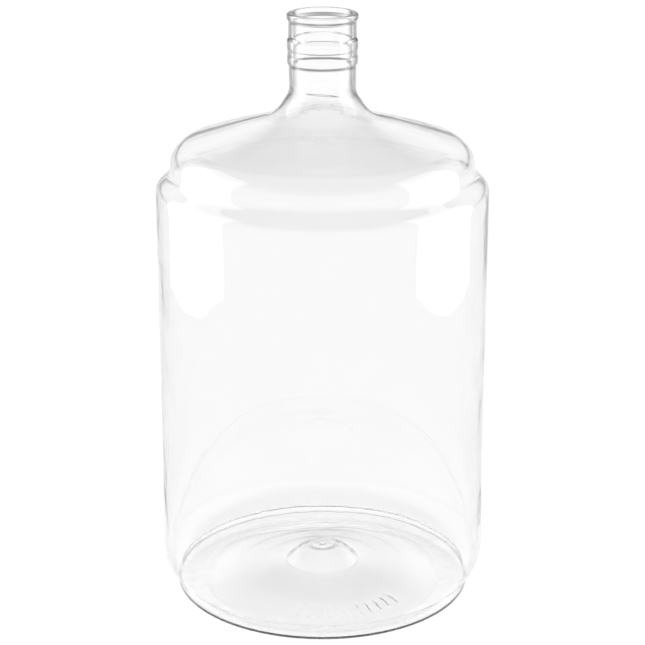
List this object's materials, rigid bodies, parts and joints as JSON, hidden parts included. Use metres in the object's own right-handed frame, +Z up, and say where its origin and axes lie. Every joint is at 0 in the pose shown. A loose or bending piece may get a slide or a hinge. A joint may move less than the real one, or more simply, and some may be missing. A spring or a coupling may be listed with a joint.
{
  "type": "carboy",
  "caption": "Clear blow-moulded fermenting carboy: smooth round body, beaded shoulder, narrow banded neck with a lip bead, foot ring and domed base.",
  "frame": {"origin": "centre of the plane that the foot ring stands on", "axes": "+Z up the bottle's axis and out of the mouth; the bottle is turned, so X and Y are alike, and -Y faces the viewer"},
  "size_m": [0.2662, 0.2662, 0.4755],
  "materials": {
    "clear_plastic": "gloss, water clear"
  },
  "bodies": {
    "root": {"carboy_bottle": "clear_plastic"}
  },
  "joints": []
}
